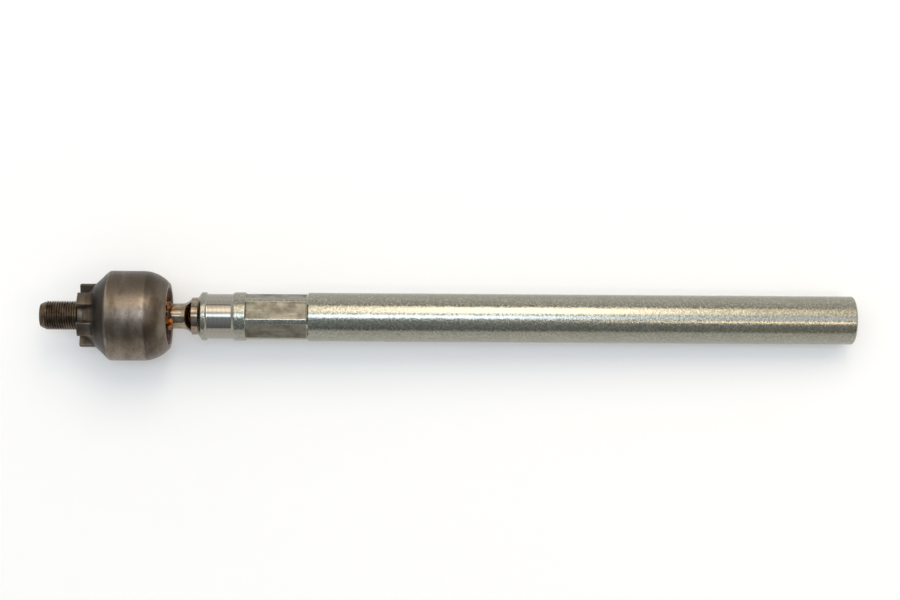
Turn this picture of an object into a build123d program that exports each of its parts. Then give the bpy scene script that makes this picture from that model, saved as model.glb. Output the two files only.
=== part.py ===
from build123d import *

from math import atan2, cos, degrees, radians, sin, sqrt, tan
import os

# Inner tie rod: axial ball joint of a steering rack, with its long tube.
#
# Frame: X runs along the rod, from the threaded stud (at -X) to the open end of the tube (at +X).
# X = 0 is the plane of the lugs, the face that seats on the rack. +Z is up as the rod lies on its side.
# Every outline below is drawn as (distance along X, radius) and turned about the X axis.

# Rack stud: the thread that screws into the rack
STUD_THREAD_D = 12.0
STUD_LENGTH = 16.3
STUD_TIP_D = 9.5
STUD_LEAD_LENGTH = 2.6

# Castellated back of the socket
BOSS_D = 17.8
BOSS_LENGTH = 2.0
LUG_COUNT = 6
LUG_D = 26.2
LUG_ARC_DEG = 28.0
LUG_PHASE_DEG = 26.7
LUG_EDGE_ROUND = 0.6
LUG_SINK = 0.3
CONE_SLOPE_DEG = 43.5
CONE_CORNER_ROUND = 2.0

# Ball, neck and shank, with a collar that stands out from the shank
BALL_D = 26.0
NECK_D = 10.5
NECK_ROOT_ROUND = 1.0
NECK_LENGTH = 5.95
FLARE_RADIUS = 5.0
COLLAR_STEP = 1.5
COLLAR_LENGTH = 2.5
SHANK_LENGTH = 43.0
SHANK_CHAMFER = 1.0
SWAGE_INTERFERENCE = 0.02

# How far the rod swings to each side of the socket's axis, and what the neck then clears the mouth by
SWING_LIMIT_DEG = 22.0
NECK_MOUTH_CLEARANCE = 0.7

# Ball seat and the disc spring that loads it
SEAT_WALL = 2.4
SEAT_BACK_WALL = 1.3
SEAT_RUNNING_GAP = 0.05
SEAT_SPLIT_GAP = 0.3
SEAT_GREASE_HOLE_D = 4.0
SEAT_MOUTH_MARGIN_DEG = 1.0
SPRING_THICKNESS = 1.1
SPRING_CONE_HEIGHT = 0.3
SPRING_HOLE_D = 8.0
SPRING_SIDE_GAP = 0.6

# Socket shell round the seat, with its lip rolled in over the ball
SOCKET_BACK_WALL = 7.3
SOCKET_WALL = 3.0
DOME_CENTRE_R = 4.3
LIP_OVERHANG = 0.2
LIP_FACE_WIDTH = 1.85
MOUTH_EDGE_CHAMFER = 0.4

# Tube, with its boot land
TUBE_D = 20.0
TUBE_LENGTH = 271.6
TUBE_END_CHAMFER = 0.5
FLANGE_FACE_STEP = 0.15
FLANGE_STEP = 0.05
FLANGE_CONE_LENGTH = 1.5
FLANGE_LENGTH = 3.3
BOOT_LAND_DEPTH = 0.75
BOOT_LAND_LENGTH = 10.2
BOOT_LAND_FLANK_LENGTH = 0.5
SHOULDER_RAMP_LENGTH = 1.0
SHOULDER_LENGTH = 4.5

# Thread in the tube for the outer tie rod end, M14x1.5: the wall is measured outside the thread
END_THREAD_WALL = 3.0
END_THREAD_PITCH = 1.5
END_THREAD_LENGTH = 60.0
END_THREAD_CHAMFER = 0.9
END_THREAD_RUNOUT_LENGTH = 1.2

# Hexagon where the tube is pressed onto the shank, and where a spanner holds it
HEX_SIDES = 6
HEX_FLAT_DEPTH = 1.25
HEX_CORNER_STEP = 0.4
HEX_LENGTH = 25.2
HEX_PHASE_DEG = 18.5
HEX_END_RAMP_LENGTH = 0.8

# Radii worked out from those above
SLOPE = tan(radians(CONE_SLOPE_DEG))
BALL_R = BALL_D / 2
BOWL_R = BALL_R + SEAT_RUNNING_GAP
SEAT_R = BOWL_R + SEAT_WALL
CAVITY_R = SEAT_R + SEAT_RUNNING_GAP
SOCKET_R = CAVITY_R + SOCKET_WALL
DOME_RADIUS = SOCKET_R - DOME_CENTRE_R
MOUTH_REACH = BALL_R + LIP_OVERHANG
SWING = radians(SWING_LIMIT_DEG)
MOUTH_R = MOUTH_REACH * tan(SWING) + (NECK_D / 2 + NECK_MOUTH_CLEARANCE) / cos(SWING)
RIM_R = MOUTH_R + LIP_FACE_WIDTH
TUBE_R = TUBE_D / 2
FLANGE_R = TUBE_R - FLANGE_STEP
LAND_R = TUBE_R - BOOT_LAND_DEPTH
END_THREAD_R = TUBE_R - END_THREAD_WALL
BORE_R = END_THREAD_R - END_THREAD_PITCH / 2
COLLAR_R = BORE_R + COLLAR_STEP

# Places along X worked out from those above
CONE_END_X = BOSS_LENGTH + (SOCKET_R - BOSS_D / 2) / SLOPE
SEAT_BACK_X = SOCKET_BACK_WALL + SPRING_THICKNESS + SPRING_CONE_HEIGHT + SEAT_RUNNING_GAP
BALL_X = SEAT_BACK_X + SEAT_BACK_WALL + BOWL_R
MOUTH_X = BALL_X + MOUTH_REACH
DOME_START_X = MOUTH_X - sqrt(DOME_RADIUS**2 - (RIM_R - DOME_CENTRE_R) ** 2)
NECK_ROOT_R = NECK_D / 2 + NECK_ROOT_ROUND
NECK_START_X = BALL_X + sqrt((BALL_R + NECK_ROOT_ROUND) ** 2 - NECK_ROOT_R**2)
FLARE_START_X = NECK_START_X + NECK_LENGTH
COLLAR_START_X = FLARE_START_X + sqrt(FLARE_RADIUS**2 - (FLARE_RADIUS + NECK_D / 2 - COLLAR_R) ** 2)
TUBE_START_X = COLLAR_START_X + COLLAR_LENGTH
LAND_START_X = TUBE_START_X + FLANGE_LENGTH + BOOT_LAND_FLANK_LENGTH
LAND_END_X = LAND_START_X + BOOT_LAND_LENGTH
SHOULDER_START_X = LAND_END_X + SHOULDER_RAMP_LENGTH
HEX_START_X = SHOULDER_START_X + SHOULDER_LENGTH
HEX_END_X = HEX_START_X + HEX_LENGTH
TUBE_END_X = TUBE_START_X + TUBE_LENGTH


def cone_x(radius):
    """Where the outer cone of the socket has this radius."""
    return CONE_END_X - (SOCKET_R - radius) / SLOPE


def inner_cone_x(radius, gap=0.0):
    """Where the cone inside the socket has this radius, one wall (and a gap) in from the outer one."""
    return cone_x(radius) + (SOCKET_WALL + gap) / sin(radians(CONE_SLOPE_DEG))


def inner_cone_radius(x, gap=0.0):
    """Radius of the cone inside the socket at this place along X."""
    return CAVITY_R - (inner_cone_x(CAVITY_R, gap) - x) * SLOPE


def dome_point(x, inset):
    """Point of the rolled-in dome, moved in from its outer surface by the inset."""
    reach = DOME_RADIUS - inset
    return (x, DOME_CENTRE_R + sqrt(reach**2 - (x - DOME_START_X) ** 2))


def dome_x(radius, inset):
    """Where that surface of the dome has this radius."""
    reach = DOME_RADIUS - inset
    return DOME_START_X + sqrt(reach**2 - (radius - DOME_CENTRE_R) ** 2)


def ball_point(angle_deg, radius):
    """Point on a sphere about the ball's centre, at this angle from the +X axis."""
    return (BALL_X + radius * cos(radians(angle_deg)), radius * sin(radians(angle_deg)))


def arc_through(start, centre, end):
    """Short arc about a centre, from one outline point to another."""
    mid_x = (start[0] + end[0]) / 2 - centre[0]
    mid_r = (start[1] + end[1]) / 2 - centre[1]
    reach = sqrt((start[0] - centre[0]) ** 2 + (start[1] - centre[1]) ** 2)
    scale = reach / sqrt(mid_x**2 + mid_r**2)
    return ThreePointArc(start, (centre[0] + mid_x * scale, centre[1] + mid_r * scale), end)


def turned(edges):
    """Solid of revolution about X from the edges of a closed outline."""
    return revolve(make_face(edges), axis=Axis.X)


def lug():
    """One lug of the castellated back, rounded where the tool grips it."""
    top_r = LUG_D / 2
    root_r = BOSS_D / 2 - LUG_SINK
    outline = Polyline(
        (0, root_r),
        (0, top_r),
        (cone_x(top_r) + LUG_SINK, top_r),
        (cone_x(root_r) + LUG_SINK, root_r),
        close=True,
    )
    block = revolve(make_face(outline), axis=Axis.X, revolution_arc=LUG_ARC_DEG)
    outer_face = block.faces().filter_by(GeomType.CYLINDER).sort_by(SortBy.AREA)[-1]
    kept_edge = outer_face.edges().sort_by(Axis.X)[-1]
    return fillet(outer_face.edges() - ShapeList([kept_edge]), LUG_EDGE_ROUND)


def socket_housing():
    """One forging: rack stud, castellated back, cone, barrel and the lip rolled over the ball."""
    stud_r = STUD_THREAD_D / 2
    dome_centre = (DOME_START_X, DOME_CENTRE_R)
    dome_start = (DOME_START_X, SOCKET_R)
    rim = (MOUTH_X, RIM_R)
    lip_start = (dome_x(MOUTH_R, SOCKET_WALL), MOUTH_R)
    cavity_end = (DOME_START_X, CAVITY_R)
    back = Polyline(
        (SOCKET_BACK_WALL, 0),
        (-STUD_LENGTH, 0),
        (-STUD_LENGTH, STUD_TIP_D / 2),
        (STUD_LEAD_LENGTH - STUD_LENGTH, stud_r),
        (0, stud_r),
        (0, BOSS_D / 2),
        (BOSS_LENGTH, BOSS_D / 2),
        (CONE_END_X, SOCKET_R),
        dome_start,
    )
    lip = Polyline(
        rim,
        (MOUTH_X, MOUTH_R + MOUTH_EDGE_CHAMFER),
        (MOUTH_X - MOUTH_EDGE_CHAMFER, MOUTH_R),
        lip_start,
    )
    cavity = Polyline(
        cavity_end,
        (inner_cone_x(CAVITY_R), CAVITY_R),
        (SOCKET_BACK_WALL, inner_cone_radius(SOCKET_BACK_WALL)),
        (SOCKET_BACK_WALL, 0),
    )
    outer_arc = arc_through(dome_start, dome_centre, rim)
    inner_arc = arc_through(lip_start, dome_centre, cavity_end)
    outline = make_face([back, outer_arc, lip, inner_arc, cavity])
    corner = outline.vertices().sort_by_distance((CONE_END_X, SOCKET_R))[0]
    housing = revolve(fillet(corner, CONE_CORNER_ROUND), axis=Axis.X)
    for index in range(LUG_COUNT):
        turn = 90 + LUG_PHASE_DEG + index * 360 / LUG_COUNT - LUG_ARC_DEG / 2
        housing += Rot(turn, 0, 0) * lug()
    return housing


def preload_spring():
    """Disc spring between the socket's floor and the back of the seat."""
    outer_r = inner_cone_radius(SOCKET_BACK_WALL) - SPRING_SIDE_GAP
    hole_r = SPRING_HOLE_D / 2
    outline = Polyline(
        (SOCKET_BACK_WALL, outer_r),
        (SOCKET_BACK_WALL + SPRING_CONE_HEIGHT, hole_r),
        (SOCKET_BACK_WALL + SPRING_CONE_HEIGHT + SPRING_THICKNESS, hole_r),
        (SOCKET_BACK_WALL + SPRING_THICKNESS, outer_r),
        close=True,
    )
    return turned(outline)


def rear_ball_seat():
    """Plastic cup behind the ball, with a hole at its pole that feeds grease."""
    gap = SEAT_RUNNING_GAP
    hole_r = SEAT_GREASE_HOLE_D / 2
    split_x = BALL_X - SEAT_SPLIT_GAP / 2
    bowl_start = (split_x, sqrt(BOWL_R**2 - (BALL_X - split_x) ** 2))
    bowl_end = (BALL_X - sqrt(BOWL_R**2 - hole_r**2), hole_r)
    outside = Polyline(
        bowl_end,
        (SEAT_BACK_X, hole_r),
        (SEAT_BACK_X, inner_cone_radius(SEAT_BACK_X, gap)),
        (inner_cone_x(SEAT_R, gap), SEAT_R),
        (split_x, SEAT_R),
        bowl_start,
    )
    return turned([outside, arc_through(bowl_start, (BALL_X, 0), bowl_end)])


def ball_end_deg():
    """Angle from the +X axis at which the ball meets the round at the neck's root."""
    return degrees(atan2(NECK_ROOT_R, NECK_START_X - BALL_X))


def front_ball_seat():
    """Plastic ring in front of the ball, held by the rolled lip and open for the neck's swing."""
    inset = SOCKET_WALL + SEAT_RUNNING_GAP
    split_x = BALL_X + SEAT_SPLIT_GAP / 2
    open_deg = SWING_LIMIT_DEG + ball_end_deg() + SEAT_MOUTH_MARGIN_DEG
    bowl_start = (split_x, sqrt(BOWL_R**2 - (split_x - BALL_X) ** 2))
    bowl_end = ball_point(open_deg, BOWL_R)
    dome_start = (DOME_START_X, SEAT_R)
    dome_end = dome_point(bowl_end[0], inset)
    side = Polyline(bowl_start, (split_x, SEAT_R), dome_start)
    front = Line(dome_end, bowl_end)
    outer_arc = arc_through(dome_start, (DOME_START_X, DOME_CENTRE_R), dome_end)
    bowl_arc = arc_through(bowl_end, (BALL_X, 0), bowl_start)
    return turned([side, outer_arc, front, bowl_arc])


def ball_stud():
    """Ball, waisted neck, flare and collar, with the shank that the tube is swaged onto."""
    shank_r = BORE_R + SWAGE_INTERFERENCE
    shank_end_x = TUBE_START_X + SHANK_LENGTH
    ball_centre = (BALL_X, 0)
    ball_pole = (BALL_X - BALL_R, 0)
    ball_top = (BALL_X, BALL_R)
    ball_end = ball_point(ball_end_deg(), BALL_R)
    neck_start = (NECK_START_X, NECK_D / 2)
    flare_start = (FLARE_START_X, NECK_D / 2)
    collar_start = (COLLAR_START_X, COLLAR_R)
    shank = Polyline(
        collar_start,
        (TUBE_START_X, COLLAR_R),
        (TUBE_START_X, shank_r),
        (shank_end_x - SHANK_CHAMFER, shank_r),
        (shank_end_x, shank_r - SHANK_CHAMFER),
        (shank_end_x, 0),
        ball_pole,
    )
    return turned(
        [
            arc_through(ball_pole, ball_centre, ball_top),
            arc_through(ball_top, ball_centre, ball_end),
            arc_through(ball_end, (NECK_START_X, NECK_ROOT_R), neck_start),
            Line(neck_start, flare_start),
            arc_through(flare_start, (FLARE_START_X, NECK_D / 2 + FLARE_RADIUS), collar_start),
            shank,
        ]
    )


def hexagon_cutter():
    """What the press takes off the round tube to leave six flats."""
    from_start = (Align.CENTER, Align.CENTER, Align.MIN)
    place = Pos(HEX_START_X, 0, 0) * Rot(0, 90, 0)
    half_side_deg = 180 / HEX_SIDES
    flat_r = TUBE_R - HEX_FLAT_DEPTH
    profile = RegularPolygon(flat_r, HEX_SIDES, major_radius=False, rotation=half_side_deg)
    round_stock = Cylinder(TUBE_D, HEX_LENGTH, align=from_start)
    return Rot(HEX_PHASE_DEG, 0, 0) * place * (round_stock - extrude(profile, HEX_LENGTH))


def rod_tube():
    """Tube: boot land and hexagon at the socket end, internal thread at the other."""
    corner_r = TUBE_R - HEX_CORNER_STEP
    thread_start_x = TUBE_END_X - END_THREAD_LENGTH
    outline = Polyline(
        (TUBE_START_X, BORE_R),
        (TUBE_START_X, COLLAR_R + FLANGE_FACE_STEP),
        (TUBE_START_X + FLANGE_CONE_LENGTH, FLANGE_R),
        (TUBE_START_X + FLANGE_LENGTH, FLANGE_R),
        (LAND_START_X, LAND_R),
        (LAND_END_X, LAND_R),
        (SHOULDER_START_X, TUBE_R),
        (HEX_START_X, TUBE_R),
        (HEX_START_X, corner_r),
        (HEX_END_X, corner_r),
        (HEX_END_X + HEX_END_RAMP_LENGTH, TUBE_R),
        (TUBE_END_X - TUBE_END_CHAMFER, TUBE_R),
        (TUBE_END_X, TUBE_R - TUBE_END_CHAMFER),
        (TUBE_END_X, END_THREAD_R + END_THREAD_CHAMFER),
        (TUBE_END_X - END_THREAD_CHAMFER, END_THREAD_R),
        (thread_start_x, END_THREAD_R),
        (thread_start_x - END_THREAD_RUNOUT_LENGTH, BORE_R),
        close=True,
    )
    return turned(outline) - hexagon_cutter()


PIECES = {
    "socket_housing": socket_housing,
    "preload_spring": preload_spring,
    "rear_ball_seat": rear_ball_seat,
    "front_ball_seat": front_ball_seat,
    "ball_stud": ball_stud,
    "rod_tube": rod_tube,
}

os.makedirs("parts", exist_ok=True)
for name, make_piece in PIECES.items():
    export_step(make_piece(), f"parts/{name}.step")
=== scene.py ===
# %% [markdown]
# # Dressing a steering rack's inner tie rod
#
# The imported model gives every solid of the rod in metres: a castellated ball socket, the ball and
# neck that swing in it, and the long tube. This lesson puts threads, rounded corners, grease and
# metal finishes on that frame. Nothing is moved: each new piece is made at the very place of the
# solid that it stands for.

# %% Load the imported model
import math

import bmesh
import bpy
from mathutils import Matrix, Vector, noise


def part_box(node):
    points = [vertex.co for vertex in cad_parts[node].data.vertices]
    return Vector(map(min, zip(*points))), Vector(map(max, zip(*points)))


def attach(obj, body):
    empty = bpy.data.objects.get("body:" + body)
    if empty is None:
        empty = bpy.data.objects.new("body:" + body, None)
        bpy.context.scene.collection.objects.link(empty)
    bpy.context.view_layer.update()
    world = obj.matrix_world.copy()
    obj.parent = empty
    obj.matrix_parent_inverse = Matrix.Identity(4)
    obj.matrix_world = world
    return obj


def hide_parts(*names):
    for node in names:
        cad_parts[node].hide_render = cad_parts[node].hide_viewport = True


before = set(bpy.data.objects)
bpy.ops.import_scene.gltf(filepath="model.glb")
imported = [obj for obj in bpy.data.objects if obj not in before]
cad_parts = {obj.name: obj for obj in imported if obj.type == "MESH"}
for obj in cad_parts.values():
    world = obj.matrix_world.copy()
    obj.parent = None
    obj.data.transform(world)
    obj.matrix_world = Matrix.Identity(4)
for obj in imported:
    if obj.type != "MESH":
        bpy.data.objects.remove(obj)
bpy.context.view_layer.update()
# The model is in metres. Sizes on the rod are named in millimetres and turned to metres by this.
MM = 0.001
print("solids:", sorted(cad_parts))

# %% [markdown]
# ## The camera
#
# The photograph looks straight down on a rod that rests on the rim of its socket and on the far
# end of its tube. The socket is the thicker of the two, so the table isn't quite level with the
# rod's axis. We could tilt the rod, but the solids have to stay where they are, so the table and
# the camera are tilted instead.

# %% Lay the table under the socket and the tube's end
SOCKET_RIM = 25.6
socket_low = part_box("socket_housing")[0]
tube_low, tube_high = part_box("rod_tube")
rest_on_socket = Vector((SOCKET_RIM * MM, 0, socket_low.z))
rest_on_tube = Vector((tube_high.x, 0, tube_low.z))
along_table = (rest_on_tube - rest_on_socket).normalized()
across_table = Vector((0, 1, 0))
table_normal = along_table.cross(across_table).normalized()
table_tilt = math.atan2(along_table.z, along_table.x)
print("table rises towards the tube's end by", round(math.degrees(table_tilt), 2), "degrees")

# %% Stand the camera over the rod
SENSOR_WIDTH = 36
FOCAL_PX = 1794
IMAGE_WIDTH_PX = 900
CAMERA_ALONG = 152.0 * MM
CAMERA_ACROSS = 7.4 * MM
CAMERA_HEIGHT = 758.5 * MM
CAMERA_ROLL_DEG = 0.4

# The middle is on the table, straight below the rod, and the camera's foot is a little beside it.
middle = rest_on_socket + along_table * (CAMERA_ALONG - rest_on_socket.dot(along_table))
foot = middle + across_table * CAMERA_ACROSS
camera_data = bpy.data.cameras.new("photo_camera")
camera_data.sensor_width = SENSOR_WIDTH
camera_data.lens = SENSOR_WIDTH * FOCAL_PX / IMAGE_WIDTH_PX
camera = bpy.data.objects.new("photo_camera", camera_data)
bpy.context.scene.collection.objects.link(camera)
axes = Matrix((along_table, across_table, table_normal)).transposed()
camera.matrix_world = (
    Matrix.Translation(foot + table_normal * CAMERA_HEIGHT)
    @ axes.to_4x4()
    @ Matrix.Rotation(math.radians(CAMERA_ROLL_DEG), 4, "Z")
)
bpy.context.scene.camera = camera
camera_place = [round(v, 3) for v in camera.matrix_world.translation]
print("lens", round(camera_data.lens, 1), "mm, camera at", camera_place)

# %% [markdown]
# ## Helpers for finishes
#
# A finish is written as people give colours, in sRGB hex, while the shader adds light, so one
# function turns hex to linear values. A second small function adds any node, gives it its settings
# and joins its inputs: that keeps a node tree as short to read as a recipe. The last two turn a
# real size in millimetres into a texture's scale.

# %% Colours and nodes
def linear(hex_colour):
    """sRGB hex, such as #a09080, as the linear colour that a shader takes."""
    shares = [int(hex_colour[i : i + 2], 16) / 255 for i in (1, 3, 5)]
    light = [s / 12.92 if s <= 0.04045 else ((s + 0.055) / 1.055) ** 2.4 for s in shares]
    return (*light, 1.0)


def add_node(tree, kind, inputs=None, **settings):
    """Adds a node, gives it its settings, and fills or links its inputs."""
    node = tree.nodes.new(kind)
    for name, value in settings.items():
        setattr(node, name, value)
    for name, value in (inputs or {}).items():
        if isinstance(value, bpy.types.NodeSocket):
            tree.links.new(value, node.inputs[name])
        else:
            node.inputs[name].default_value = value
    return node


def new_finish(name, constants):
    """A material, its tree, its shader set to these constants, and the object's coordinates."""
    material = bpy.data.materials.new(name)
    material.use_nodes = True
    tree = material.node_tree
    tree.nodes.clear()
    shader = add_node(tree, "ShaderNodeBsdfPrincipled", constants)
    add_node(tree, "ShaderNodeOutputMaterial", {"Surface": shader.outputs["BSDF"]})
    place = add_node(tree, "ShaderNodeTexCoord").outputs["Object"]
    return material, tree, shader, place


print("a mid grey, #808080, is", round(linear("#808080")[0], 3), "in linear light")

# %% Scales from real sizes
WAVE_RADIANS = 20


def cells_of(size_mm):
    """Scale at which a noise texture's cells are about this size."""
    return 1 / (size_mm * MM)


def rings_of(spacing_mm):
    """Scale at which a wave texture's rings are this far apart, as it turns 20 radians a unit."""
    return math.tau / WAVE_RADIANS / (spacing_mm * MM)


print("cells of 1 mm need a scale of", cells_of(1), "and rings 1 mm apart", round(rings_of(1)))

# %% [markdown]
# ## Light, table and room
#
# Metal shows what stands round it, so its look is made by the room more than by its colour. The
# photograph has a warm light along the rod on its upper side, a cooler narrow one overhead, a dim
# room above and something pale low down all round. Soft lamps, a white table and a room that is
# pale low down and dim higher up give the same bands. The lamps are kept at the level at which a
# colour renders about as it is written.

# %% The room
ROOM_EDGE_DEG = 25
room_edge = math.sin(math.radians(ROOM_EDGE_DEG))
world = bpy.data.worlds.new("studio_room")
bpy.context.scene.world = world
world.use_nodes = True
room = world.node_tree
room.nodes.clear()
direction = add_node(room, "ShaderNodeTexCoord").outputs["Generated"]
direction_parts = add_node(room, "ShaderNodeSeparateXYZ", {"Vector": direction})
upwards = direction_parts.outputs["Z"]
towards_end = direction_parts.outputs["X"]
dimming = add_node(
    room,
    "ShaderNodeMapRange",
    {"Value": upwards, "From Min": room_edge - 0.02, "From Max": room_edge + 0.03},
    interpolation_type="SMOOTHSTEP",
).outputs["Result"]
overhead = add_node(
    room, "ShaderNodeMapRange", {"Value": upwards, "From Min": room_edge, "From Max": 1.0}
).outputs["Result"]
warming = add_node(
    room, "ShaderNodeMapRange", {"Value": towards_end, "From Min": 0.03, "From Max": 0.2}
).outputs["Result"]
wall = add_node(
    room,
    "ShaderNodeMix",
    {0: warming, 6: linear("#686d72"), 7: linear("#9c9580")},
    data_type="RGBA",
).outputs[2]
upper_room = add_node(
    room, "ShaderNodeMix", {0: overhead, 6: wall, 7: linear("#adb6bc")}, data_type="RGBA"
).outputs[2]
room_colour = add_node(
    room, "ShaderNodeMix", {0: dimming, 6: linear("#f4f4f2"), 7: upper_room}, data_type="RGBA"
).outputs[2]
background = add_node(room, "ShaderNodeBackground", {"Color": room_colour, "Strength": 1.0})
add_node(room, "ShaderNodeOutputWorld", {"Surface": background.outputs["Background"]})
print("room is pale up to", ROOM_EDGE_DEG, "degrees above level")

# %% The table
TABLE_HALF_SIZE = 4
table_mesh = bpy.data.meshes.new("table")
bm = bmesh.new()
bmesh.ops.create_grid(bm, x_segments=1, y_segments=1, size=TABLE_HALF_SIZE)
bmesh.ops.transform(bm, matrix=Matrix.Translation(middle) @ axes.to_4x4(), verts=bm.verts)
bm.to_mesh(table_mesh)
bm.free()
table = bpy.data.objects.new("table", table_mesh)
bpy.context.scene.collection.objects.link(table)
print("table is", [round(d, 1) for d in table.dimensions], "m")

# %% White paper on the table
# Uncoated paper scatters light to every side, so it shows shadows and next to no shine.
table_paper, tree, shader, place = new_finish(
    "white_table_paper",
    {
        "Base Color": linear("#efefef"),
        "Roughness": 0.9,
        "Specular IOR Level": 0.1,
        "Emission Color": (1, 1, 1, 1),
    },
)
# The camera, reflections and clear grease see the paper lighter than the lamps make it. The
# shadow on it stays.
path = add_node(tree, "ShaderNodeLightPath")
seen = path.outputs["Is Camera Ray"]
for ray in ("Is Glossy Ray", "Is Transmission Ray"):
    seen = add_node(
        tree, "ShaderNodeMath", {0: seen, 1: path.outputs[ray]}, operation="ADD"
    ).outputs[0]
# The lamps' light falls off outwards from its middle, so paper further out is lifted more, and
# the whole table comes out at the room's own level.
POOL_MIDDLE = (CAMERA_ALONG, 0.35, 0)
POOL_NEAR, POOL_FAR = 0.45, 2.1
LIFT_NEAR, LIFT_FAR = 0.11, 0.5
from_pool = add_node(
    tree, "ShaderNodeVectorMath", {0: place, 1: POOL_MIDDLE}, operation="DISTANCE"
).outputs["Value"]
far_lift = add_node(
    tree,
    "ShaderNodeMapRange",
    {
        "Value": from_pool,
        "From Min": POOL_NEAR,
        "From Max": POOL_FAR,
        "To Min": LIFT_NEAR,
        "To Max": LIFT_FAR,
    },
).outputs["Result"]
lift = add_node(
    tree, "ShaderNodeMath", {0: seen, 1: far_lift}, operation="MULTIPLY", use_clamp=True
).outputs[0]
tree.links.new(lift, shader.inputs["Emission Strength"])
table_mesh.materials.append(table_paper)
print("paper is lifted by", LIFT_NEAR, "near the rod and", LIFT_FAR, "far away")

# %% [markdown]
# Each lamp is a flat soft one, whose mirror image is a band along the tube. In the photograph the
# bands change along the rod, so the warm strip is in three parts, glows and windows in front of
# the strips make the brighter stretches, and one narrow lamp draws the thin line near the open end.

# %% A soft lamp
def soft_lamp(name, from_zenith_deg, ends_mm, distance, width, radiance, tint):
    """A lamp that faces the rod between two places along it, this far from overhead towards +Y."""
    start_mm, end_mm = ends_mm
    length = (end_mm - start_mm) * MM
    data = bpy.data.lights.new(name, "AREA")
    data.shape = "RECTANGLE"
    data.size = length
    data.size_y = width
    # A lamp's power is its radiance times its area times pi.
    data.energy = radiance * math.pi * length * width
    data.color = linear(tint)[:3]
    lamp = bpy.data.objects.new(name, data)
    bpy.context.scene.collection.objects.link(lamp)
    lean = math.radians(from_zenith_deg)
    towards = table_normal * math.cos(lean) + across_table * math.sin(lean)
    turn = Matrix((along_table, towards.cross(along_table), towards)).transposed().to_4x4()
    along = (start_mm + end_mm) / 2 * MM - CAMERA_ALONG
    place = middle + along_table * along + towards * distance
    lamp.matrix_world = Matrix.Translation(place) @ turn
    lamp.visible_camera = False
    print(name, round(data.energy, 2), "W")


print("lamps are placed along the rod as the camera is, which stands at", CAMERA_ALONG, "m")

# %% Strips along the whole rod
STRIP_START, NEAR_CUT, FAR_CUT, STRIP_END = -1048, -6, 750, 1352
STRIP_DISTANCE = 1.35
WARM_LEAN_DEG = 38.5
WARM_WIDTH = 0.96
WARM_TINT = "#ffefd6"
for name, ends_mm, radiance in (
    ("warm_left_strip_lamp", (STRIP_START, NEAR_CUT), 1.1),
    ("warm_strip_lamp", (NEAR_CUT, FAR_CUT), 0.6),
    ("warm_right_strip_lamp", (FAR_CUT, STRIP_END), 1.45),
):
    soft_lamp(name, WARM_LEAN_DEG, ends_mm, STRIP_DISTANCE, WARM_WIDTH, radiance, WARM_TINT)
soft_lamp("cool_strip_lamp", 7, (STRIP_START, STRIP_END), STRIP_DISTANCE, 0.44, 1.2, "#dfe9f8")

# %% Glows and windows in front of the strips
GLOW_DISTANCE = 1.33
GLOW_LEAN_DEG = 37
GLOW_TINT = "#fff0da"
soft_lamp("warm_glow_lamp", GLOW_LEAN_DEG, (60, 630), GLOW_DISTANCE, 0.8, 0.85, GLOW_TINT)
soft_lamp("warm_near_glow_lamp", GLOW_LEAN_DEG, (-30, 60), GLOW_DISTANCE, 0.8, 1.5, GLOW_TINT)

WINDOW_DISTANCE = 1.31
NEAR_WINDOW = (-150, -6)
soft_lamp("warm_window_lamp", 37, (142, 442), WINDOW_DISTANCE, 0.72, 4.0, "#fff6ea")
soft_lamp("cool_window_lamp", 5, (-4, 356), WINDOW_DISTANCE, 0.3, 6.0, "#d8e8ff")
soft_lamp("near_warm_window_lamp", 33, NEAR_WINDOW, WINDOW_DISTANCE, 0.34, 1.45, "#fff0d8")
soft_lamp("near_cool_window_lamp", 5, NEAR_WINDOW, WINDOW_DISTANCE, 0.2, 2.2, "#dce9ff")
soft_lamp("narrow_far_lamp", -11.5, (450, 1050), WINDOW_DISTANCE, 0.075, 11.0, "#ffe8ca")
bpy.context.scene.view_settings.view_transform = "Standard"

# %% [markdown]
# ## Turned pieces
#
# Almost everything here came off a lathe, so most pieces start as an outline, given as distance
# along X and radius, that is spun round the X axis. A round solid could also be stacked from
# cylinders and cones, but a spun outline keeps each step, land and chamfer as one line of numbers,
# in millimetres, as a drawing gives them.

# %% Spin an outline
HOLD_LENGTH = 0.35


def spin_outline(outline_mm, steps):
    """A closed bmesh from an outline of (x, radius) spun once round the X axis."""
    # A point just inside each end of a long run keeps smooth shading from creeping along it.
    held_outline = []
    for (x0, r0), (x1, r1) in zip(outline_mm, outline_mm[1:] + outline_mm[:1]):
        held_outline.append((x0, r0))
        run = math.hypot(x1 - x0, r1 - r0)
        if run > 4 * HOLD_LENGTH:
            for share in (HOLD_LENGTH / run, 1 - HOLD_LENGTH / run):
                held_outline.append((x0 + (x1 - x0) * share, r0 + (r1 - r0) * share))
    bm = bmesh.new()
    corners = [bm.verts.new((x * MM, 0, r * MM)) for x, r in held_outline]
    for first, second in zip(corners, corners[1:] + corners[:1]):
        if first.co.z or second.co.z:
            bm.edges.new((first, second))
    bmesh.ops.spin(
        bm,
        geom=bm.verts[:] + bm.edges[:],
        cent=(0, 0, 0),
        axis=(1, 0, 0),
        angle=2 * math.pi,
        steps=steps,
        use_merge=True,
    )
    bmesh.ops.remove_doubles(bm, verts=bm.verts, dist=0.001 * MM)
    bmesh.ops.recalc_face_normals(bm, faces=bm.faces)
    return bm


print("long runs are held", HOLD_LENGTH, "mm inside each end")

# %% Measure, move and cut round pieces
# A cut takes along the vertices that lie this close to it, in metres.
CUT_WITHIN = 1e-8


def along_and_out(v):
    """Where a vertex is along X and how far from the X axis, in millimetres."""
    x, y, z = v.co / MM
    return x, math.hypot(y, z)


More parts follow.
